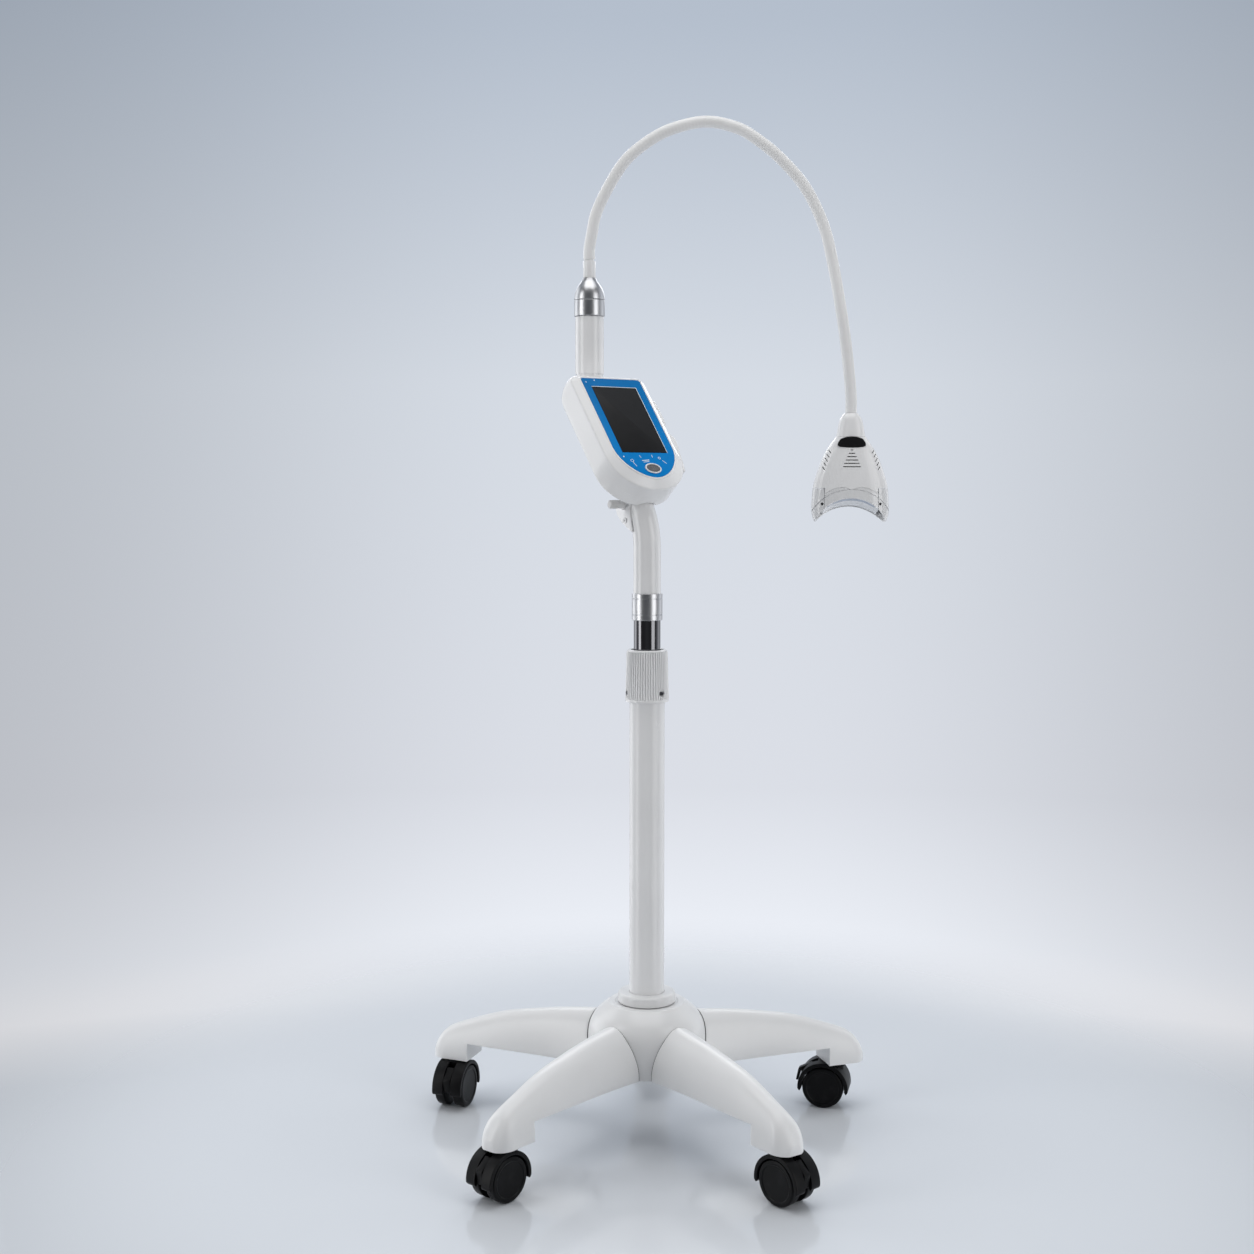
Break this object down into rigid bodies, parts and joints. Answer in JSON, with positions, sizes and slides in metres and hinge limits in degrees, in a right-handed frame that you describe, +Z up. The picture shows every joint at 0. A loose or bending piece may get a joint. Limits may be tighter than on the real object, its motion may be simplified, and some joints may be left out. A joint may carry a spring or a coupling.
{
  "type": "teeth whitening lamp",
  "caption": "Mobile teeth whitening lamp: castor star base, lifting post, control box on a bent mast and a flexible arm with a mouth-shaped lamp head.",
  "frame": {"origin": "on the floor under the middle of the whole outline", "axes": "+Z up, -Y the front of the base, +X the side on which the lamp head hangs"},
  "size_m": [0.5511, 0.5355, 1.1923],
  "materials": {
    "black_nylon": "satin black",
    "blue_film": "printed blue film without lettering",
    "circuit_green": "circuit board",
    "clear_grey": "clear grey tinted",
    "dark_chrome": "polished black chrome",
    "dark_grey": "dark grey",
    "dark_steel": "blackened",
    "grey_plastic": "light grey",
    "heat_sink": "plain milled",
    "lens_blue": "pale blue lens",
    "mesh_grey": "grey mesh",
    "satin_aluminium": "satin turned",
    "screen_black": "gloss black",
    "steel_plate": "dull zinc plate",
    "white_enamel": "gloss white enamel",
    "white_gloss": "smooth gloss white",
    "white_paint": "satin warm white",
    "white_satin": "satin warm white",
    "white_sheath": "white ribbed sheath"
  },
  "bodies": {
    "base": {"base_hub": "white_satin", "hub_plate": "steel_plate", "leg_front_right": "white_satin", "leg_side_right": "white_satin", "leg_back": "white_satin", "leg_side_left": "white_satin", "leg_front_left": "white_satin", "post_tube": "white_paint", "post_collar": "white_satin", "clamp_bush": "dark_grey"},
    "clamp": {"clamp_knob": "white_gloss", "set_screw_front": "dark_steel", "set_screw_back": "dark_steel", "set_screw_left": "dark_steel"},
    "column": {"inner_tube": "dark_chrome", "swivel_ring": "satin_aluminium"},
    "mast": {"mast_bent_tube": "white_enamel", "mast_upper_tube": "white_enamel", "ferrule_band": "satin_aluminium", "box_bracket": "white_enamel"},
    "tilt_screw": {"tilt_knob": "grey_plastic"},
    "control_box": {"box_front_shell": "white_gloss", "box_rear_shell": "white_gloss", "box_fascia": "blue_film", "screen_glass": "screen_black", "display_module": "dark_grey", "main_board": "circuit_green", "power_inlet": "black_nylon", "side_grip": "white_gloss"},
    "power_key": {"power_button": "mesh_grey"},
    "arm_base": {"ferrule_cone": "satin_aluminium", "gooseneck_sleeve": "white_enamel"},
    "arm_lower": {"gooseneck_lower": "white_sheath"},
    "arm_upper": {"gooseneck_upper": "white_sheath"},
    "head": {"head_neck": "white_gloss", "head_front_shell": "white_gloss", "head_rear_shell": "white_gloss", "mouth_skirt": "clear_grey", "mouth_lens": "lens_blue", "lamp_board": "circuit_green", "heat_sink": "heat_sink", "head_screw_left": "dark_steel", "head_screw_right": "dark_steel"},
    "fan": {"cooling_fan": "dark_grey"},
    "start_key": {"head_button": "black_nylon"},
    "castor_front_right": {"castor_hood_front_right": "black_nylon"},
    "wheels_front_right": {"castor_wheels_front_right": "black_nylon"},
    "lever_front_right": {"castor_lever_front_right": "black_nylon"},
    "castor_side_right": {"castor_hood_side_right": "black_nylon"},
    "wheels_side_right": {"castor_wheels_side_right": "black_nylon"},
    "lever_side_right": {"castor_lever_side_right": "black_nylon"},
    "castor_back": {"castor_hood_back": "black_nylon"},
    "wheels_back": {"castor_wheels_back": "black_nylon"},
    "lever_back": {"castor_lever_back": "black_nylon"},
    "castor_side_left": {"castor_hood_side_left": "black_nylon"},
    "wheels_side_left": {"castor_wheels_side_left": "black_nylon"},
    "lever_side_left": {"castor_lever_side_left": "black_nylon"},
    "castor_front_left": {"castor_hood_front_left": "black_nylon"},
    "wheels_front_left": {"castor_wheels_front_left": "black_nylon"},
    "lever_front_left": {"castor_lever_front_left": "black_nylon"}
  },
  "joints": [
    {"name": "clamp_turn", "type": "hinge", "parent": "base", "child": "clamp", "pos_m": [-0.0095, -0.025, 0.5075], "axis": [0, 0, 1], "range_deg": [-90, 90]},
    {"name": "column_lift", "type": "slide", "parent": "base", "child": "column", "axis": [0, 0, 1], "range_m": [-0.032, 0.24]},
    {"name": "mast_swivel", "type": "hinge", "parent": "column", "child": "mast", "pos_m": [-0.0095, -0.025, 0.602], "axis": [0, 0, 1], "range_deg": [-170, 170]},
    {"name": "box_tilt", "type": "hinge", "parent": "mast", "child": "control_box", "pos_m": [-0.02, -0.01132, 0.73539], "axis": [0.7934, 0.6088, 0], "range_deg": [0, 12]},
    {"name": "tilt_screw_turn", "type": "hinge", "parent": "control_box", "child": "tilt_screw", "pos_m": [-0.02, -0.01132, 0.73539], "axis": [0.7934, 0.6088, 0], "range_deg": [-180, 180]},
    {"name": "power_press", "type": "slide", "parent": "control_box", "child": "power_key", "axis": [-0.4731, 0.6166, -0.6293], "range_m": [0, 0.001], "stiffness_N_per_m": 500, "springref_m": -0.0005},
    {"name": "arm_swivel", "type": "hinge", "parent": "mast", "child": "arm_base", "pos_m": [-0.08091, 0.06806, 0.97725], "axis": [0, 0, 1], "range_deg": [-150, 150]},
    {"name": "gooseneck_base_flex", "type": "hinge", "parent": "arm_base", "child": "arm_lower", "pos_m": [-0.08091, 0.06806, 1.02455], "axis": [0, 1, 0], "range_deg": [-15, 15]},
    {"name": "gooseneck_arch_flex", "type": "hinge", "parent": "arm_lower", "child": "arm_upper", "pos_m": [0.05731, 0.06806, 1.18535], "axis": [0, 1, 0], "range_deg": [-15, 15]},
    {"name": "head_swivel", "type": "hinge", "parent": "arm_upper", "child": "head", "pos_m": [0.23179, 0.06806, 0.84295], "axis": [0, 0, 1], "range_deg": [-90, 90]},
    {"name": "fan_spin", "type": "hinge", "parent": "head", "child": "fan", "pos_m": [0.23179, 0.06806, 0.76905], "axis": [0, 0, 1], "continuous": true},
    {"name": "start_press", "type": "slide", "parent": "head", "child": "start_key", "axis": [0, 1, 0], "range_m": [0, 0.001], "stiffness_N_per_m": 500, "springref_m": -0.0005},
    {"name": "castor_swivel_front_right", "type": "hinge", "parent": "base", "child": "castor_front_right", "pos_m": [0.13333, -0.22159, 0.0502], "axis": [0, 0, 1], "continuous": true},
    {"name": "wheel_spin_front_right", "type": "hinge", "parent": "castor_front_right", "child": "wheels_front_right", "pos_m": [0.14375, -0.23238, 0.025], "axis": [0.7193, 0.6947, 0], "continuous": true},
    {"name": "brake_lever_front_right", "type": "hinge", "parent": "castor_front_right", "child": "lever_front_right", "pos_m": [0.15413, -0.24313, 0.04892], "axis": [0.7193, 0.6947, 0], "range_deg": [-16, 0]},
    {"name": "castor_swivel_side_right", "type": "hinge", "parent": "base", "child": "castor_side_right", "pos_m": [0.22161, 0.05009, 0.0502], "axis": [0, 0, 1], "continuous": true},
    {"name": "wheel_spin_side_right", "type": "hinge", "parent": "castor_side_right", "child": "wheels_side_right", "pos_m": [0.20694, 0.05321, 0.025], "axis": [-0.2079, -0.9781, 0], "continuous": true},
    {"name": "brake_lever_side_right", "type": "hinge", "parent": "castor_side_right", "child": "lever_side_right", "pos_m": [0.19232, 0.05632, 0.04892], "axis": [-0.2079, -0.9781, 0], "range_deg": [0, 16]},
    {"name": "castor_swivel_back", "type": "hinge", "parent": "base", "child": "castor_back", "pos_m": [-0.0095, 0.218, 0.0502], "axis": [0, 0, 1], "continuous": true},
    {"name": "wheel_spin_back", "type": "hinge", "parent": "castor_back", "child": "wheels_back", "pos_m": [-0.002, 0.23099, 0.025], "axis": [-0.866, 0.5, 0], "continuous": true},
    {"name": "brake_lever_back", "type": "hinge", "parent": "castor_back", "child": "lever_back", "pos_m": [0.00547, 0.24393, 0.04892], "axis": [-0.866, 0.5, 0], "range_deg": [0, 16]},
    {"name": "castor_swivel_side_left", "type": "hinge", "parent": "base", "child": "castor_side_left", "pos_m": [-0.24061, 0.05009, 0.0502], "axis": [0, 0, 1], "continuous": true},
    {"name": "wheel_spin_side_left", "type": "hinge", "parent": "castor_side_left", "child": "wheels_side_left", "pos_m": [-0.24474, 0.03567, 0.025], "axis": [0.9613, -0.2756, 0], "continuous": true},
    {"name": "brake_lever_side_left", "type": "hinge", "parent": "castor_side_left", "child": "lever_side_left", "pos_m": [-0.24886, 0.02131, 0.04892], "axis": [0.9613, -0.2756, 0], "range_deg": [-16, 0]},
    {"name": "castor_swivel_front_left", "type": "hinge", "parent": "base", "child": "castor_front_left", "pos_m": [-0.15233, -0.22159, 0.0502], "axis": [0, 0, 1], "continuous": true},
    {"name": "wheel_spin_front_left", "type": "hinge", "parent": "castor_front_left", "child": "wheels_front_left", "pos_m": [-0.16197, -0.23308, 0.025], "axis": [0.766, -0.6428, 0], "continuous": true},
    {"name": "brake_lever_front_left", "type": "hinge", "parent": "castor_front_left", "child": "lever_front_left", "pos_m": [-0.17158, -0.24453, 0.04892], "axis": [0.766, -0.6428, 0], "range_deg": [-16, 0]}
  ]
}
